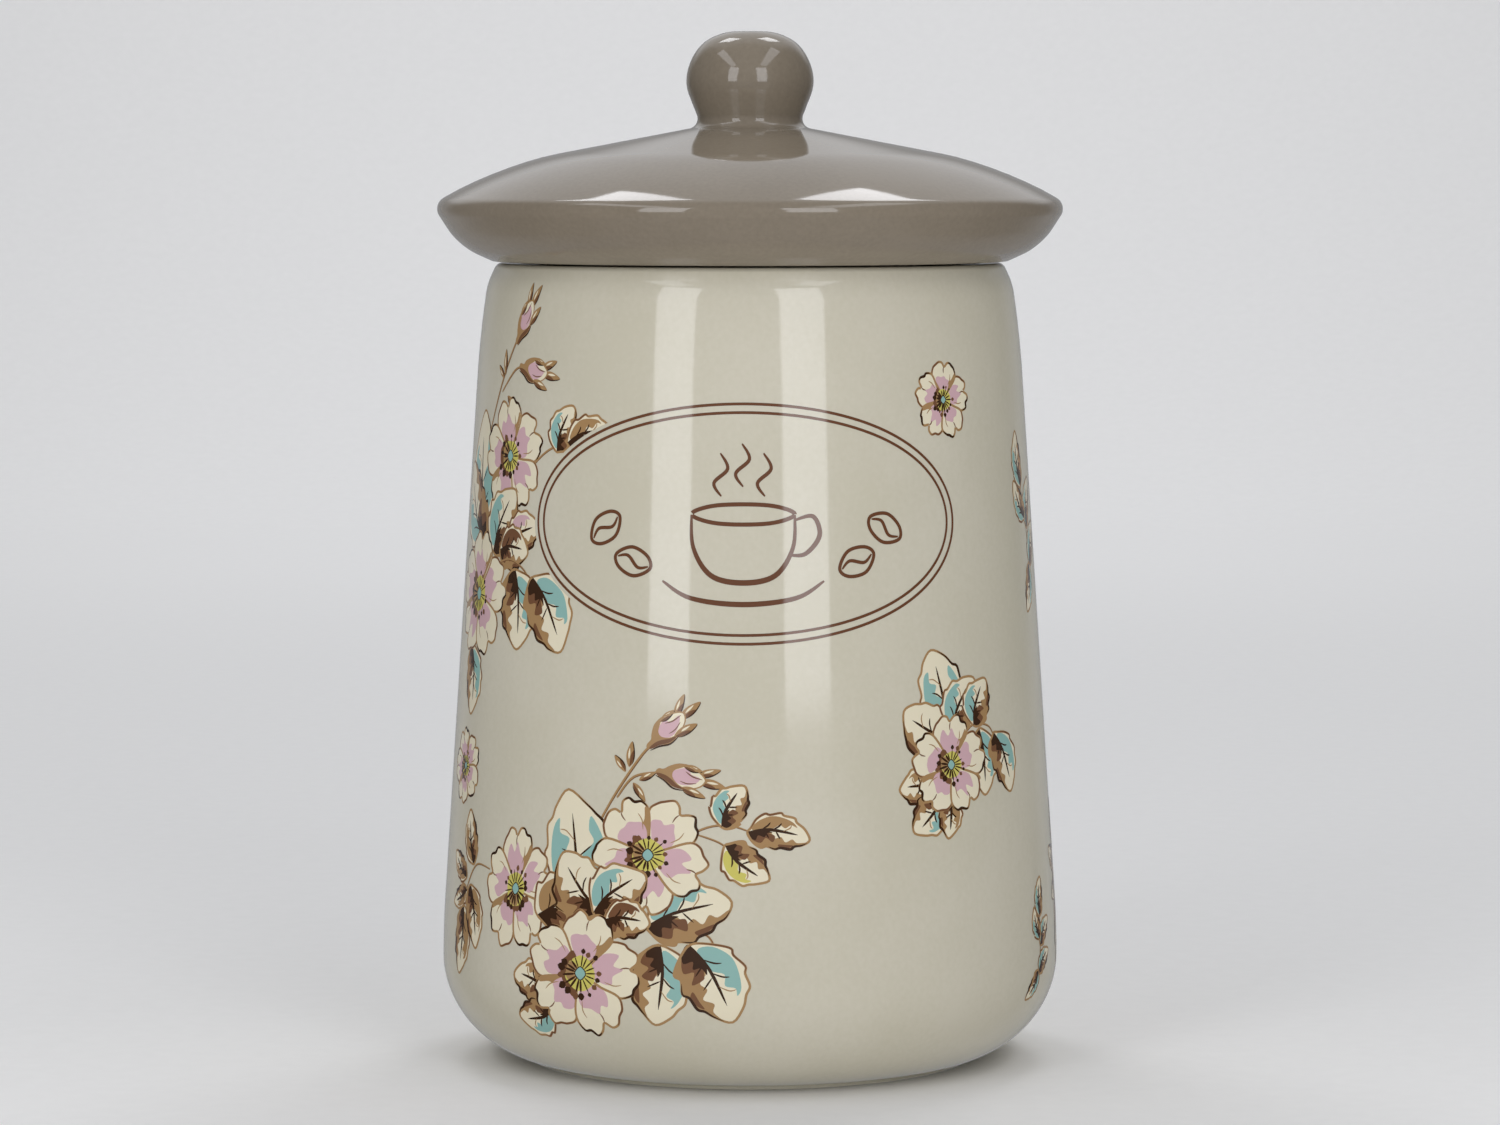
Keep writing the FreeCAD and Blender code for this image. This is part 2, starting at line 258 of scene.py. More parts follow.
def ink(name, code):
    """Glossy fired ink: a solid colour that has sunk into the glaze and shares its shine."""
    return finish_of(f"fired_{name}_ink", Base_Color=colour(code), Roughness=0.08, IOR=1.52)[0]


ink_materials = [ink(name, code) for name, code in INKS.items()]


def drawn(points, closed=True, steps=5):
    """A freehand curve through the points."""
    spots = [Vector(p) for p in points]
    last = len(spots) - 1
    path = []
    for i in range(len(spots) if closed else last):
        if closed:
            before, start, end, after = (spots[(i + k) % len(spots)] for k in (-1, 0, 1, 2))
        else:
            before, start, end, after = (spots[min(max(i + k, 0), last)] for k in (-1, 0, 1, 2))
        path += geometry.interpolate_bezier(start, start + (end - before) / 6,
                                            end - (after - start) / 6, end, steps + 1)[:-1]
    return path if closed else path + [spots[-1]]


def shaky(points, amount):
    """The same points with the small misses of a hand in them."""
    return [(x + hand.uniform(-amount, amount), y + hand.uniform(-amount, amount))
            for x, y in points]


def put(path, at, turn=0.0, size=1.0, squeeze=1.0):
    """Sizes a path, narrows it across, turns it by degrees and moves it to its place."""
    turned_by = Matrix.Rotation(math.radians(turn), 2)
    return [turned_by @ Vector((p[0] * size, p[1] * size * squeeze)) + Vector(at) for p in path]


def fill(art, ink_name, outline):
    """One flat patch of ink on a drawing. Later patches cover earlier ones."""
    area = sum(a[0] * b[1] - b[0] * a[1] for a, b in zip(outline, outline[1:] + outline[:1]))
    art.append((ink_name, outline if area > 0 else outline[::-1]))


def stroke(art, ink_name, path, width, ends):
    """A pen stroke that swells to its width along the middle and thins to this share of it."""
    last = len(path) - 1
    sides = []
    for i, spot in enumerate(path):
        along = (path[min(i + 1, last)] - path[max(i - 1, 0)]).normalized()
        swell = ends + (1 - ends) * abs(math.sin(math.pi * i / last)) ** 0.7
        across = Vector((-along.y, along.x)) * width / 2 * swell
        sides.append((spot + across, spot - across))
    for (left, right), (next_left, next_right) in zip(sides, sides[1:]):
        corner = (next_right - right).cross(left - right)
        far_corner = (left - next_left).cross(next_right - next_left)
        if corner > 0 and far_corner > 0:
            art.append((ink_name, [right, next_right, next_left, left]))


def ring(art, ink_name, path, width):
    """A closed line of even width."""
    stroke(art, ink_name, path + path[:2], width, ends=1.0)


def stretch(path, start, end):
    """The stretch of a path between two shares of its length."""
    return path[round(start * (len(path) - 1)):round(end * (len(path) - 1)) + 1]


def leaf(art, at, turn, size, width=0.36, bend=0.08, patch="aqua", flip=1, pale=False):
    """A toothed rose leaf from its stalk to its tip: cream with a patch of colour on one side of
    the rib, tan in shade on the other. Flip swaps the sides; a pale leaf is coloured on both."""
    def laid(points, closed=True):
        bent = [(x, (y * width + 4 * bend * x * (1 - x)) * flip) for x, y in points]
        return put(drawn(bent, closed, 4), at, turn, size)

    teeth = [(0.03, 0.26), (0.12, 0.66), (0.24, 0.92), (0.31, 0.86), (0.47, 1.0), (0.55, 0.88),
             (0.70, 0.84), (0.77, 0.64), (0.88, 0.44)]
    upper = shaky(teeth, 0.02)
    lower = shaky([(x, -y) for x, y in teeth], 0.02)
    edge = laid([(0, 0)] + upper + [(1.0, 0.0)] + lower[::-1])
    fill(art, "cream", edge)
    if pale:
        fill(art, patch, laid(shaky([(0.16, -0.06), (0.24, -0.5), (0.36, -0.78), (0.54, -0.74),
                                     (0.76, -0.50), (0.66, -0.38), (0.56, -0.46), (0.44, -0.10)],
                                    0.02)))
        fill(art, "tan", laid(shaky([(0, 0), (0.03, -0.26), (0.13, -0.64), (0.24, -0.88),
                                     (0.20, -0.5), (0.16, -0.1), (0.14, 0.3), (0.16, 0.7),
                                     (0.03, 0.26)], 0.015)))
    else:
        fill(art, "tan", laid([(0, 0)] + lower + [(0.94, -0.24), (0.80, -0.42), (0.72, -0.30),
                                                  (0.62, -0.54), (0.54, -0.30), (0.44, -0.40),
                                                  (0.34, -0.06)]))
    fill(art, patch, laid(shaky([(0.08, 0.08), (0.14, 0.50), (0.30, 0.76), (0.50, 0.78),
                                 (0.70, 0.62), (0.76, 0.40), (0.66, 0.46), (0.60, 0.22),
                                 (0.48, 0.34), (0.36, 0.06)], 0.02)))
    if not pale:
        fill(art, "brown", laid(shaky([(0.02, -0.05), (0.10, -0.44), (0.24, -0.66), (0.30, -0.40),
                                       (0.42, -0.62), (0.44, -0.28), (0.36, -0.16), (0.24, -0.02)],
                                      0.02)))
        fill(art, "brown", laid(shaky([(0.50, -0.72), (0.62, -0.66), (0.74, -0.62), (0.66, -0.80),
                                       (0.54, -0.86)], 0.015)))
    fill(art, "sepia", laid(shaky([(0.0, 0.0), (0.05, -0.34), (0.15, -0.50), (0.18, -0.24),
                                   (0.27, -0.36), (0.30, -0.14), (0.40, -0.10), (0.24, 0.04)],
                                  0.012)))
    ring(art, "tan", edge, 0.42)
    stroke(art, "sepia", stretch(edge, 0.53, 0.80), 0.5, 0.1)
    stroke(art, "brown", stretch(edge, 0.04, 0.30), 0.34, 0.1)
    stroke(art, "sepia", laid([(0.0, 0), (0.35, 0.05), (0.80, 0.02)], False), 0.56, 0.1)
    for x in (0.20, 0.38):
        stroke(art, "sepia", laid([(x, 0.03), (x + 0.10, 0.26), (x + 0.14, 0.46)], False), 0.3, 0.1)
        stroke(art, "sepia", laid([(x + 0.06, 0), (x + 0.15, -0.42)], False), 0.3, 0.1)
    stroke(art, "tan", laid([(0.56, 0.03), (0.66, 0.26), (0.68, 0.46)], False), 0.22, 0.1)


def leaflet(art, at, turn, size):
    """A small plain leaf or sepal, tan with a pale patch and a dark underside."""
    def laid(points):
        return put(drawn(points, steps=4), at, turn, size)

    edge = laid(shaky([(0, 0), (0.25, 0.15), (0.6, 0.16), (1.0, 0.0), (0.6, -0.14), (0.25, -0.13)],
                      0.015))
    fill(art, "tan", edge)
    fill(art, "cream", laid([(0.30, 0.05), (0.48, 0.10), (0.72, 0.07), (0.5, 0.02)]))
    fill(art, "brown", laid([(0.02, -0.01), (0.3, -0.12), (0.66, -0.12), (0.45, -0.01)]))
    stroke(art, "sepia", stretch(edge, 0.5, 0.95), 0.24, 0.1)


def stem(art, points, width=0.5):
    """A twig: tan, with a dark line down one side."""
    path = drawn(points, False, 6)
    stroke(art, "tan", path, width, 0.6)
    stroke(art, "brown", [p + Vector((0.12, -0.14)) for p in path], width * 0.35, 0.3)


def bud(art, at, turn, size):
    """A slim rose bud on its side: pink petals rolled to a point out of a tan calyx, with thin
    sepals along them and past their tip."""
    def laid(points, closed=True):
        return put(drawn(points, closed, 4), at, turn, size)

    for x, y, lean, long in ((0.64, 0.06, 24, 0.38), (0.68, -0.02, -2, 0.42)):
        leaflet(art, put([(x, y)], at, turn, size)[0], turn + lean, size * long)
    fill(art, "cream", laid([(0.16, 0.05), (0.28, 0.15), (0.44, 0.19), (0.62, 0.15), (0.78, 0.03),
                             (0.72, -0.09), (0.55, -0.16), (0.36, -0.15), (0.20, -0.06)]))
    fill(art, "pink", laid(shaky([(0.24, 0.03), (0.38, 0.12), (0.50, 0.14), (0.55, 0.06),
                                  (0.70, 0.03), (0.62, -0.07), (0.46, -0.12), (0.32, -0.08)], 0.01)))
    fill(art, "tan", laid(shaky([(0, 0), (0.04, 0.06), (0.13, 0.07), (0.20, 0.13), (0.34, 0.20),
                                 (0.50, 0.20), (0.40, 0.14), (0.29, 0.07), (0.29, -0.03),
                                 (0.40, -0.12), (0.54, -0.17), (0.34, -0.18), (0.18, -0.10),
                                 (0.05, -0.05)], 0.008)))
    fill(art, "brown", laid([(0.02, -0.01), (0.14, -0.01), (0.25, -0.05), (0.38, -0.13),
                             (0.54, -0.17), (0.34, -0.17), (0.18, -0.09), (0.06, -0.05)]))
    for x, y, lean, long in ((0.42, 0.17, -6, 0.30), (0.44, -0.15, -14, 0.40)):
        leaflet(art, put([(x, y)], at, turn, size)[0], turn + lean, size * long)
    stroke(art, "tan", laid([(0.48, 0.19), (0.62, 0.15), (0.78, 0.03), (0.72, -0.09), (0.56, -0.16)],
                            False), 0.26, 0.5)
    stroke(art, "sepia", laid([(0.01, -0.05), (0.16, -0.10), (0.32, -0.19), (0.50, -0.19)], False),
           0.32, 0.1)
    stroke(art, "brown", laid([(0.46, 0.10), (0.58, 0.04), (0.74, 0.02)], False), 0.24, 0.1)
    stroke(art, "brown", laid([(0.40, -0.06), (0.52, -0.08), (0.66, -0.05)], False), 0.2, 0.1)


def blossom(art, at, turn, size, squeeze=1.0, tip=0.0):
    """A dog rose, open and seen from above: five notched petals, pink towards a yellow heart
    with its stamens, and an aqua eye. Squeeze and tip turn it away from the viewer."""
    def laid(points, spin=0.0, closed=True, steps=4):
        flat = put(drawn(points, closed, steps), (0, 0), spin)
        return put(flat, at, tip, size, squeeze)

    for petal in range(5):
        spin = turn + petal * 72 - tip
        edge = laid(shaky([(0.06, 0.0), (0.34, 0.26), (0.60, 0.45), (0.80, 0.43), (0.90, 0.33),
                           (1.0, 0.22), (0.98, 0.09), (0.88, 0.01), (0.99, -0.10), (1.0, -0.22),
                           (0.90, -0.31), (0.84, -0.41), (0.62, -0.44), (0.32, -0.24)], 0.02), spin)
        fill(art, "cream", edge)
        if petal % 2:
            fill(art, "tan", laid(shaky([(0.10, -0.06), (0.34, -0.24), (0.60, -0.43), (0.72, -0.41),
                                         (0.56, -0.30), (0.46, -0.16)], 0.012), spin))
        reach = hand.uniform(-0.06, 0.10)
        fill(art, "pink", laid(shaky([(0.15, 0.0), (0.34, 0.21), (0.52, 0.30), (0.64 + reach, 0.22),
                                      (0.60, 0.10), (0.70 + reach, 0.0), (0.58, -0.10),
                                      (0.50, -0.22), (0.32, -0.18)], 0.025), spin))
        ring(art, "tan", edge, 0.42)
        stroke(art, "sepia", stretch(edge, 0.60, 0.86), 0.5, 0.1)
        stroke(art, "brown", stretch(edge, 0.14, 0.38), 0.36, 0.1)
        stroke(art, "brown", laid([(0.88, 0.01), (0.80, 0.03), (0.70, 0.02)], spin, False), 0.24, 0.1)
        stroke(art, "tan", laid([(0.40, -0.16), (0.56, -0.24), (0.70, -0.24)], spin, False), 0.2, 0.1)
    shade = [(0.37 * math.cos(a / 10), 0.37 * math.sin(a / 10)) for a in range(20, 46, 3)]
    fill(art, "brown", laid(shaky(shade, 0.03) + [(0.0, 0.0)]))
    heart = shaky([(0.28 * math.cos(a * FULL_TURN / 13), 0.28 * math.sin(a * FULL_TURN / 13))
                   for a in range(13)], 0.02)
    fill(art, "yellow", laid(heart))
    fill(art, "tan", laid(shaky([(0, 0.03), (-0.10, 0.16), (-0.20, 0.18), (-0.27, 0.06),
                                 (-0.25, -0.10), (-0.14, -0.12), (-0.02, -0.03)], 0.015)))
    rays = 17
    for ray in range(rays):
        angle = (ray + hand.uniform(-0.25, 0.25)) * 360 / rays
        reach = hand.uniform(0.25, 0.34)
        heavy = 120 < angle < 290
        stroke(art, "sepia", laid([(0.10, 0), (reach, 0)], angle, False), 0.42 if heavy else 0.26, 0.3)
        if heavy or ray % 4 != 1:
            dot = (0.058 if heavy else 0.042) * hand.uniform(0.8, 1.25)
            fill(art, "sepia" if ray % 3 else "brown",
                 laid([(reach + dot * 2.2, 0), (reach + dot, dot), (reach, 0), (reach + dot, -dot)],
                      angle, steps=2))
    eye = laid([(0.10, 0), (0, 0.11), (-0.10, 0), (0, -0.11)])
    fill(art, "aqua", eye)
    ring(art, "sepia", eye, 0.18)


def transfer(name, art):
    """Prints a drawing on the jar: the patches are cut against each other so that only the top
    one shows, and against upright and level lines close enough for the film to bend. Every point
    is then wrapped on the glaze, and shades as the glaze under it does."""
    points, faces, cuts = [], [], []
    for _, outline in art:
        faces.append(list(range(len(points), len(points) + len(outline))))
        points += [Vector((p[0], p[1])) for p in outline]
    lows = [min(p[i] for p in points) - MARGIN for i in (0, 1)]
    highs = [max(p[i] for p in points) + MARGIN for i in (0, 1)]
    for axis in (0, 1):
        for k in range(1, math.ceil((highs[axis] - lows[axis]) / SLICE)):
            for end in (lows, highs):
                spot = Vector(end)
                spot[axis] = lows[axis] + k * SLICE
                points.append(spot)
            cuts.append((len(points) - 2, len(points) - 1))
    spots, _, cut_faces, _, _, sources = geometry.delaunay_2d_cdt(points, cuts, faces, 1, 1e-5)
    film = bmesh.new()
    verts = [film.verts.new((*spot, 0)) for spot in spots]
    inks = list(INKS)
    for corners, source in zip(cut_faces, sources):
        top = art[max(source)][0] if source else BARE
        if top is not BARE:
            film.faces.new([verts[i] for i in corners]).material_index = inks.index(top)
    bmesh.ops.delete(film, geom=[v for v in film.verts if not v.link_faces], context="VERTS")
    normals = []
    for vert in film.verts:
        angle = vert.co.x / ROUND_RADIUS
        outward = Vector((math.sin(angle), -math.cos(angle), 0))
        start = outward * 2 * BELLY_RADIUS * MM + Vector((0, 0, vert.co.y * MM))
        spot, facing, _, _ = jar_skin.ray_cast(start, -outward)
        normal = outward * facing.xy.length + Vector((0, 0, facing.z))
        vert.co = spot + normal * FILM * MM
        normals.append(normal)
    made = smooth_mesh(name, film, ink_materials)
    made.data.normals_split_custom_set_from_vertices(normals)
    return fix_to("jar", made)


def again(name, printed, round_jar):
    """The same transfer once more, this many degrees further round the jar."""
    mesh = printed.data.copy()
    mesh.name = name
    mesh.transform(Matrix.Rotation(math.radians(round_jar), 4, "Z"))
    fix_to("jar", in_scene(name, mesh))


# The oval label: two thin lines round a pen drawing of a cup. A plain picture of what is inside
# stands where the maker's lettering would be.
LABEL_X, LABEL_Y = -1.2, 97.1
LABEL_WIDE, LABEL_TALL = 40.4, 20.0
LABEL_LINE, LABEL_GAP, LABEL_CLEAR = 0.48, 1.45, 0.4
OVAL_POINTS = 160


def oval(inset):
    """The label's oval, drawn this far inside its outer line."""
    return [Vector((LABEL_X + (LABEL_WIDE - inset) * math.cos(k * FULL_TURN / OVAL_POINTS),
                    LABEL_Y + (LABEL_TALL - inset) * math.sin(k * FULL_TURN / OVAL_POINTS)))
            for k in range(OVAL_POINTS)]


label = []
ring(label, "umber", oval(0), LABEL_LINE)
ring(label, "umber", oval(LABEL_GAP), LABEL_LINE)


def pen(points, width=0.75, closed=False):
    """A pen line of the cup drawing, in mm from the label's middle."""
    path = put(drawn(points, closed, 8), (LABEL_X, LABEL_Y))
    if closed:
        ring(label, "umber", path, width)
    else:
        stroke(label, "umber", path, width, 0.35)


pen([(-9, 1.5), (-8.6, -4), (-5.5, -8.6), (0, -9.8), (5.5, -8.6), (8.6, -4), (9, 1.5)], 0.95)
pen([(9, 1.6), (4.5, 3.1), (-4.5, 3.1), (-9, 1.6), (-4.5, 0.1), (4.5, 0.1)], 0.7, closed=True)
pen([(8.9, 0.6), (12.2, 1.2), (13.3, -2), (10.8, -5), (7.9, -5.2)], 0.85)
pen([(-14, -9.6), (-9, -12.4), (0, -13.4), (9, -12.4), (14, -9.6)], 0.9)
for x, lift in ((-3.8, 0), (0, 1.6), (3.8, 0)):
    pen([(x, 4.6 + lift), (x - 1.3, 6.8 + lift), (x + 1.1, 9.2 + lift), (x - 0.2, 11.8 + lift)], 0.65)
for x, y, lean in ((-25, -1, 35), (-19.5, -6.5, -20), (20, -6.5, 20), (25.5, -1, -35)):
    bean = [(3.4, 0), (2.2, 1.8), (-1, 2.2), (-3.4, 0), (-2.2, -1.8), (1, -2.2)]
    pen(put(bean, (x, y), lean), 0.6, closed=True)
    pen(put([(-3.0, -0.2), (-1.2, 0.6), (1.2, -0.6), (3.0, 0.2)], (x, y), lean), 0.6)
transfer("label_oval_and_cup", label)

# The large spray below the label: three dog roses among leaves, with two buds on a rising twig.
spray = []
stem(spray, [(-26, 46), (-22.5, 52), (-18, 58.5), (-15.5, 60.8)])
stem(spray, [(-22.5, 51), (-19.5, 54.6), (-14.6, 55.6)], 0.42)
for x, y, turn, size in ((-20.4, 56.2, 84, 4.4), (-21, 55.4, 128, 3.4), (-19.6, 53.6, 305, 3.8),
                         (-18.6, 54.0, 28, 3.4)):
    leaflet(spray, (x, y), turn, size)
bud(spray, (-17.2, 59.4), 44, 11.0)
bud(spray, (-15.8, 55.6), -10, 11.0)
stem(spray, [(-12, 44), (-7, 46.5), (-3, 46.8), (1, 45.4)], 0.36)
stem(spray, [(-9, 45.4), (-5, 44), (-2.5, 42)], 0.36)
leaf(spray, (-4.6, 46.6), 62, 7.8, 0.40)
leaf(spray, (-0.4, 45.8), -8, 10.2, 0.30, patch="tan")
leaf(spray, (-4, 43.6), -40, 9.2, 0.36, patch="yellow", flip=-1)
stem(spray, [(-18, 29.6), (-12, 30.0), (-7, 28.6), (-5.4, 26)], 0.42)
stem(spray, [(-18, 29.6), (-14.4, 29.4), (-13.4, 26)], 0.42)
leaf(spray, (-16.8, 29.6), 18, 14.6, 0.36, 0.05)
leaf(spray, (-14.4, 26.6), -94, 13.6, 0.38, 0.04)
leaf(spray, (-9.6, 26.8), -62, 14.6, 0.38, 0.05)
leaf(spray, (-29, 31.5), 98, 20.5, 0.34, -0.04, pale=True)
blossom(spray, (-43.0, 34.0), 20, 10.4, 0.76, 84)
leaf(spray, (-37.5, 30.0), 34, 12.5, 0.46, -0.06, patch="tan")
leaf(spray, (-24.5, 31.5), 130, 12.5, 0.44, -0.10, patch="cream", flip=-1)
blossom(spray, (-16.8, 41.6), 52, 9.8)
leaf(spray, (-26.2, 31.4), 38, 11.4, 0.42, 0.06)
leaf(spray, (-24, 30.4), -2, 7.8, 0.44, 0.06, patch="brown")
leaf(spray, (-35, 17), 160, 8.0, 0.46, 0.1, patch="tan", flip=-1)
leaf(spray, (-34, 14.4), 196, 8.6, 0.40, 0.1)
blossom(spray, (-28.4, 21.0), 8, 10.4)
stem(spray, [(-50.5, 36.5), (-55, 36.8), (-58, 33.5), (-60, 29)], 0.36)
for x, y, turn, size in ((-56.6, 36.6, 104, 9.5), (-59, 34, 150, 7.6), (-58.5, 32, 205, 7),
                         (-59.5, 29, 262, 12), (-57, 33, 285, 11)):
    leaf(spray, (x, y), turn, size, 0.28, 0.04, patch="tan")
lower_left = transfer("roses_lower_left", spray)

# The tall spray at the label's left shoulder. It is cut off where it meets the oval.
spray = []
stem(spray, [(-60, 111), (-56, 119), (-51.5, 126.4), (-50, 128)])
stem(spray, [(-55.5, 118), (-51, 121.8), (-48.4, 122.4)], 0.42)
for x, y, turn, size in ((-54.5, 121, 95, 4.4), (-54.8, 120.4, 142, 3.4), (-53.2, 117.4, 322, 3.8)):
    leaflet(spray, (x, y), turn, size)
bud(spray, (-51.2, 126.2), 60, 11.0)
bud(spray, (-49.6, 122.4), -6, 11.0)
stem(spray, [(-46, 104), (-40, 108.5), (-33, 110.5), (-28, 110)], 0.4)
leaf(spray, (-37.6, 108.4), 66, 8.6, 0.38)
leaf(spray, (-35.2, 110.0), 12, 10.4, 0.30, patch="tan")
leaf(spray, (-59, 93), 102, 22, 0.32, 0.08, pale=True)
leaf(spray, (-60, 92), 130, 17, 0.36)
blossom(spray, (-51.0, 107.2), 30, 9.6)
leaf(spray, (-55.5, 90.5), 58, 13, 0.42, 0.06)
leaf(spray, (-50, 92.0), 22, 9.6, 0.40, patch="pink")
leaf(spray, (-53, 91.0), 0, 9.0, 0.44, patch="brown")
stem(spray, [(-55, 88), (-50, 89.6), (-45.5, 88.4), (-42, 85.4)], 0.42)
leaf(spray, (-47.4, 88.0), -84, 13.6, 0.40, 0.04)
leaf(spray, (-42.4, 87.0), -58, 14.4, 0.38, 0.06)
leaf(spray, (-63, 74), 276, 12, 0.34)
blossom(spray, (-61.0, 83), 16, 10.6)
uncut = list(spray)
fill(spray, BARE, oval(-LABEL_LINE - LABEL_CLEAR))
transfer("roses_upper_left", spray)

# The small spray low on the right, one rose among leaves.
spray = []
leaf(spray, (36.4, 61), 104, 14.6, 0.36, -0.04, pale=True)
leaf(spray, (36.6, 60), 152, 11.0, 0.46, -0.1, patch="cream", flip=-1)
leaf(spray, (37.0, 61), 58, 10.6, 0.40)
stem(spray, [(38.4, 59.6), (42, 62.0), (46, 61.5), (47.6, 59.6)], 0.4)
leaf(spray, (42.2, 61.8), 66, 8.6, 0.42)
leaf(spray, (43.6, 61.2), -86, 11.4, 0.34, 0.04)
leaf(spray, (47.6, 60.2), -66, 11.4, 0.34)
leaf(spray, (33.0, 51.6), 176, 7.4, 0.46, patch="tan", flip=-1)
leaf(spray, (34, 51), 228, 8.6, 0.44)
leaf(spray, (35.4, 50.6), 268, 7.4, 0.36, patch="tan")
blossom(spray, (36.4, 55.6), 16, 8.2)
right_roses = transfer("roses_right", spray)

# Single scattered blossoms and sprigs that fill the spaces between the sprays.


def sprig(x, y, turn, size):
    """A short twig of five slim leaves."""
    art = []
    stem(art, put([(0, -9), (0.5, 0), (-0.5, 8)], (x, y), turn, size), 0.36)
    for at, lean, long in (((0.4, 0), 52, 9), ((0, 1.5), 118, 8.5), ((-0.4, 7), 88, 9.5),
                           ((0, -6.5), 40, 9), ((0, -6), 236, 8.5)):
        leaf(art, put([at], (x, y), turn, size)[0], turn + lean, long * size, 0.28)
    return art


def single(x, y, turn, size):
    """One blossom on its own."""
    art = []
    blossom(art, (x, y), turn, size)
    return art


small_blossom = transfer("blossom_upper_right", single(38.2, 117.2, 12, 6.4))
low_blossom = transfer("blossom_left", single(-62.8, 53, 40, 6.4))
small_sprig = transfer("sprig_right", sprig(66.5, 94, 12, 1.05))
transfer("sprig_lower_right", sprig(60.5, 22, -8, 0.72))

# The same sheet of transfers goes on round the back, and the tall spray once more in full.
TO_THE_BACK = Vector((232, -6))
again("roses_back_low", lower_left, 152)
again("roses_back_right", right_roses, 190)
again("blossom_back_right", small_blossom, 62)
again("blossom_back_low", low_blossom, -112)
again("sprig_back", small_sprig, 60)
transfer("roses_back_high", [(ink_name, [p + TO_THE_BACK for p in outline])
                             for ink_name, outline in uncut])

# --- The lid ------------------------------------------------------------------------------------
# One drain-cast piece, hollow to the knob, in a taupe gloss glaze that runs over dome, edge and
# knob without a joint. Its plug drops into the jar's mouth and is grooved for the seal ring.

LID_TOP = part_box("lid")[1].z / MM
PLUG_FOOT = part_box("lid")[0].z / MM
SKIN = 4.3
PLUG_RADIUS, PLUG_WALL = 36.4, 4.2
GROOVE_RADIUS, GROOVE_TOP, GROOVE_HEIGHT = 35.4, RIM - 1.2, 7.4
SEAT_RADIUS, SEAT = 45.15, RIM + 0.3
DOME_RADIUS, DOME_HEIGHT = 44.1, RIM + 17.02
NECK_RADIUS, NECK_HOLLOW, NECK_HEIGHT = 8.55, 4.5, RIM + 23.8
KNOB_RADIUS, KNOB_HOLLOW, KNOB_UNDERSIDE = 11.05, 6.6, RIM + 30.2

# the lid's section: out of the knob's hollow and down to the plug's foot, up the plug and its
# groove, and then round the edge and over the dome to the top of the knob
lid_hollow = [
    (0, LID_TOP - SKIN, 0),
    (KNOB_HOLLOW, LID_TOP - SKIN, 4.6),
    (KNOB_HOLLOW, KNOB_UNDERSIDE, 4.6),
    (NECK_HOLLOW, NECK_HEIGHT, 1.4),
    (NECK_HOLLOW, NECK_HEIGHT - SKIN, 1.4),
    (DOME_RADIUS, DOME_HEIGHT - SKIN, 15),
    (49.2, RIM + 7.6, 1.8),
    (SEAT_RADIUS, SEAT + SKIN, 1.8),
    (PLUG_RADIUS - PLUG_WALL, SEAT + SKIN, 1.8),
    (PLUG_RADIUS - PLUG_WALL, PLUG_FOOT, 0.8),
]
lid_plug = [
    (PLUG_RADIUS, PLUG_FOOT, 1.9),
    (PLUG_RADIUS, GROOVE_TOP - GROOVE_HEIGHT, 0.15),
    (GROOVE_RADIUS, GROOVE_TOP - GROOVE_HEIGHT, 0.15),
    (GROOVE_RADIUS, GROOVE_TOP, 0.15),
    (PLUG_RADIUS, GROOVE_TOP, 0.15),
    (PLUG_RADIUS, SEAT, 1.0),
]
lid_outside = [
    (SEAT_RADIUS, SEAT, 0.6),
    (50.98, RIM + 2.94, 11.5),
    (55.61, RIM + 10.13, 2.25),
    (DOME_RADIUS, DOME_HEIGHT, 60),
    (NECK_RADIUS, NECK_HEIGHT, 1.8),
    (KNOB_RADIUS, KNOB_UNDERSIDE, 6.5),
    (11.37, RIM + 35.7, 8.3),
    (5.63, LID_TOP, 8.3),
    (0, LID_TOP, 0),
]
taupe_glaze = glaze("taupe_gloss_glaze", "867b6b", "8f8474", "5c4b3c", 0.05, 0.06, 0.8)
lid_and_knob = smooth_mesh("lid_and_knob", turned(lid_hollow + lid_plug + lid_outside),
                           [taupe_glaze])
fix_to("lid", lid_and_knob)
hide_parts("lid")

# --- The seal ring ------------------------------------------------------------------------------
# Moulded silicone, milky and a little clear, stretched into the plug's groove. Its three fins bear
# in the mouth. The surface is matt from the mould and holds a trace of dust.


def silicone():
    """Milky moulded silicone: soft-edged shine, light carried a little way in."""
    material, shader = finish_of("milky_silicone", Roughness=0.45, IOR=1.41,
                                 Subsurface_Weight=0.3, Subsurface_Scale=1.5 * MM)
    place = add_node(material, "ShaderNodeTexCoord").outputs["Object"]
    dust = add_node(material, "ShaderNodeTexNoise", {"Scale": 1 / (1.2 * MM), "Detail": 3.0},
                    {"Vector": place})
    tint = add_node(material, "ShaderNodeMix", {"A": colour("d9d6cd"), "B": colour("e8e5de")},
                    {"Factor": dust.outputs["Fac"]}, data_type="RGBA")
    grain = add_node(material, "ShaderNodeBump", {"Strength": 0.2, "Distance": 0.02 * MM},
                     {"Height": dust.outputs["Fac"]})
    material.node_tree.links.new(tint.outputs["Result"], shader.inputs["Base Color"])
    material.node_tree.links.new(grain.outputs[0], shader.inputs["Normal"])
    return material


seal_finish = silicone()
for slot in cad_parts["lid_seal"].material_slots:
    slot.link = "OBJECT"
    slot.material = seal_finish

# --- The table, the lights and the camera -------------------------------------------------------
# A pale round table with a curved card wall about it, two upright softboxes and two overhead ones
# in front, and two small ones behind. The wall is scenery only: it gives the canister no light.

TABLE_RADIUS, WALL_RADIUS, WALL_BEND, WALL_TOP = 1250, 1900, 600, 1400
# the table's face lies this far under the foot, so the two faces never share one plane
TABLE_DROP = 0.05
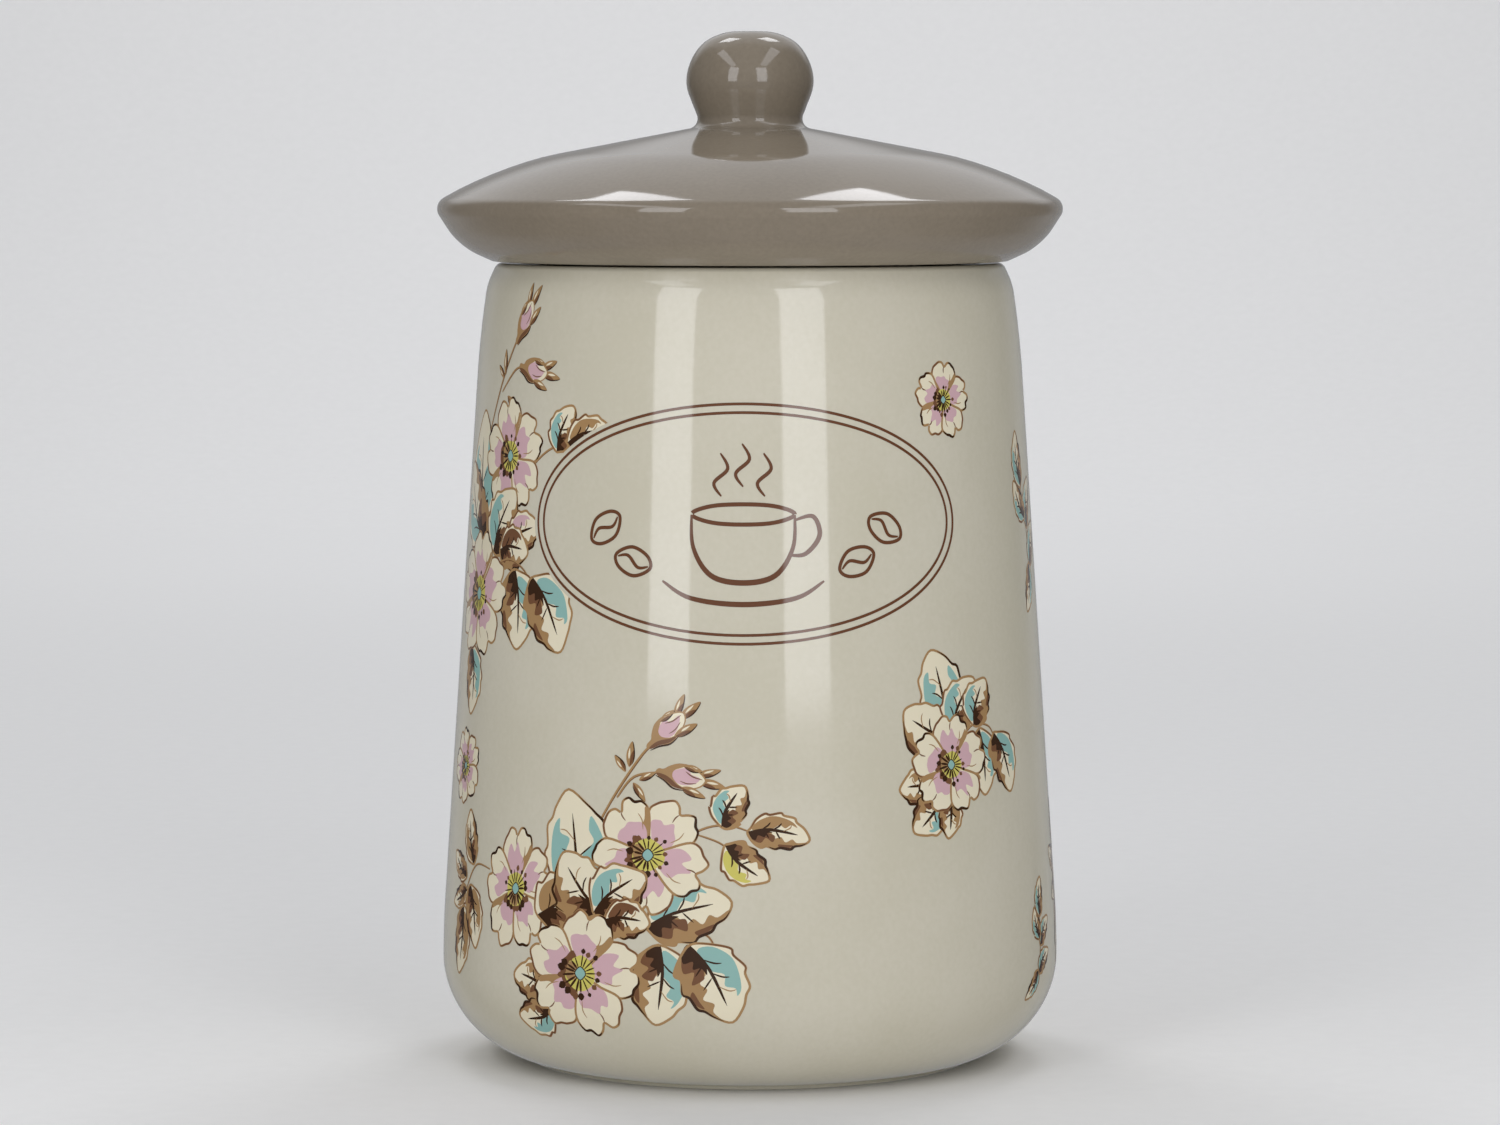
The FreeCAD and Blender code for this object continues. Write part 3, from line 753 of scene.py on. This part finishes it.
# where the lights point, in metres
BODY_MIDDLE, LID_MIDDLE, WALL_MIDDLE = (0, 0, 0.1), (0, 0, 0.16), (0, 1.8, 0.25)
# strength of the soft light from the front, from above and behind, and from the sides
FRONT_AIR, REAR_AIR, SIDE_AIR = 0.34, 0.88, 0.08


def pale_card():
    """Matt off-white card with the faintest mottle of pulp in it."""
    material, shader = finish_of("pale_card", Roughness=0.9)
    place = add_node(material, "ShaderNodeTexCoord").outputs["Object"]
    pulp = add_node(material, "ShaderNodeTexNoise", {"Scale": 1 / (4 * MM), "Detail": 3.0},
                    {"Vector": place})
    tone = add_node(material, "ShaderNodeMix", {"A": colour("efeeec"), "B": colour("f4f3f1")},
                    {"Factor": pulp.outputs["Fac"]}, data_type="RGBA")
    material.node_tree.links.new(tone.outputs["Result"], shader.inputs["Base Color"])
    return material


card = pale_card()


def scenery(name, corners):
    """A turned piece of the studio, which the glaze doesn't mirror."""
    made = smooth_mesh(name, turned(corners), [card])
    made.visible_glossy = False
    return made


scenery("table", [(0, -TABLE_DROP, 0), (TABLE_RADIUS, -TABLE_DROP, 0)])
card_wall = scenery("card_wall", [(TABLE_RADIUS, -TABLE_DROP, 0),
                                  (WALL_RADIUS, -TABLE_DROP, WALL_BEND),
                                  (WALL_RADIUS, WALL_TOP, 0)])
card_wall.visible_diffuse = card_wall.visible_shadow = False


def softbox(name, side_angle, height_angle, distance, width, tall, power, aim=BODY_MIDDLE):
    """An area light at these angles from the canister, right of the camera's line and above it."""
    light = bpy.data.lights.new(name, "AREA")
    light.shape = "RECTANGLE"
    light.size, light.size_y = width, tall
    light.energy = power
    light.color = colour("fafbff")[:3]
    made = in_scene(name, light)
    side, up = math.radians(side_angle), math.radians(height_angle)
    towards = Vector((math.sin(side) * math.cos(up), -math.cos(side) * math.cos(up), math.sin(up)))
    made.location = Vector(aim) + towards * distance
    made.rotation_euler = towards.to_track_quat("Z", "Y").to_euler()
    return made


softbox("left_softbox", -31.5, 17, 1.3, 0.38, 0.80, 3.3)
softbox("right_softbox", 22, 17, 1.3, 0.42, 0.80, 3.7)


def ceiling_box(name, x, width):
    """A long softbox overhead that runs from above the camera to above the canister."""
    made = softbox(name, 0, 90, 1.05, 1.25, width, 2.7, aim=(x, -0.6, 0.1))
    made.rotation_euler = (0, 0, math.radians(90))
    return made


ceiling_box("left_ceiling_box", -0.8, 0.30)
ceiling_box("right_ceiling_box", 0.65, 0.34)
softbox("left_rear_box", -151, 56, 1.2, 0.30, 0.30, 1.4, aim=LID_MIDDLE)
softbox("right_rear_box", 154, 56, 1.2, 0.30, 0.30, 1.4, aim=LID_MIDDLE)
wall_light = softbox("wall_light", 0, 50, 0.9, 0.8, 0.3, 4, aim=WALL_MIDDLE)
wall_light.visible_glossy = False


def studio_air():
    """Soft light from all round, brightest from above and behind. It is dimmest from the sides,
    so that the canister's flanks fall off."""
    world = bpy.data.worlds.new("studio_air")
    bpy.context.scene.world = world
    world.use_nodes = True
    light = world.node_tree.nodes["Background"]
    light.inputs["Color"].default_value = colour("f2f4f8")
    way = add_node(world, "ShaderNodeTexCoord").outputs["Generated"]
    parts = add_node(world, "ShaderNodeSeparateXYZ", (), {"Vector": way})
    behind = add_node(world, "ShaderNodeMapRange", {"From Min": -0.2, "From Max": 0.3},
                      {"Value": parts.outputs["Y"]}, interpolation_type="SMOOTHSTEP")
    above = add_node(world, "ShaderNodeMapRange", {"From Min": 0.18, "From Max": 0.34},
                     {"Value": parts.outputs["Z"]}, interpolation_type="SMOOTHSTEP")
    glow = add_node(world, "ShaderNodeMath", (), {0: behind.outputs[0], 1: above.outputs[0]},
                    operation="MULTIPLY")
    strength = add_node(world, "ShaderNodeMapRange", {"To Min": FRONT_AIR, "To Max": REAR_AIR},
                        {"Value": glow.outputs[0]})
    sideways = add_node(world, "ShaderNodeMath", (), {0: parts.outputs["X"]}, operation="ABSOLUTE")
    dim = add_node(world, "ShaderNodeMapRange",
                   {"From Min": 0.44, "From Max": 0.74, "To Max": SIDE_AIR},
                   {"Value": sideways.outputs[0], "To Min": strength.outputs[0]},
                   interpolation_type="SMOOTHSTEP")
    world.node_tree.links.new(dim.outputs[0], light.inputs["Strength"])


studio_air()

CAMERA_BACK, CAMERA_HEIGHT, CAMERA_TILT = 0.949, 0.1588, 4.33
SENSOR_WIDTH, FOCAL_LENGTH = 36.0, 129.76
lens = bpy.data.cameras.new("camera")
lens.sensor_width = SENSOR_WIDTH
lens.lens = FOCAL_LENGTH
lens.clip_start = 0.01
camera = in_scene("camera", lens)
camera.location = (0, -CAMERA_BACK, CAMERA_HEIGHT)
camera.rotation_euler = (math.radians(90 - CAMERA_TILT), 0, 0)
bpy.context.scene.camera = camera
bpy.context.scene.view_settings.view_transform = "Standard"
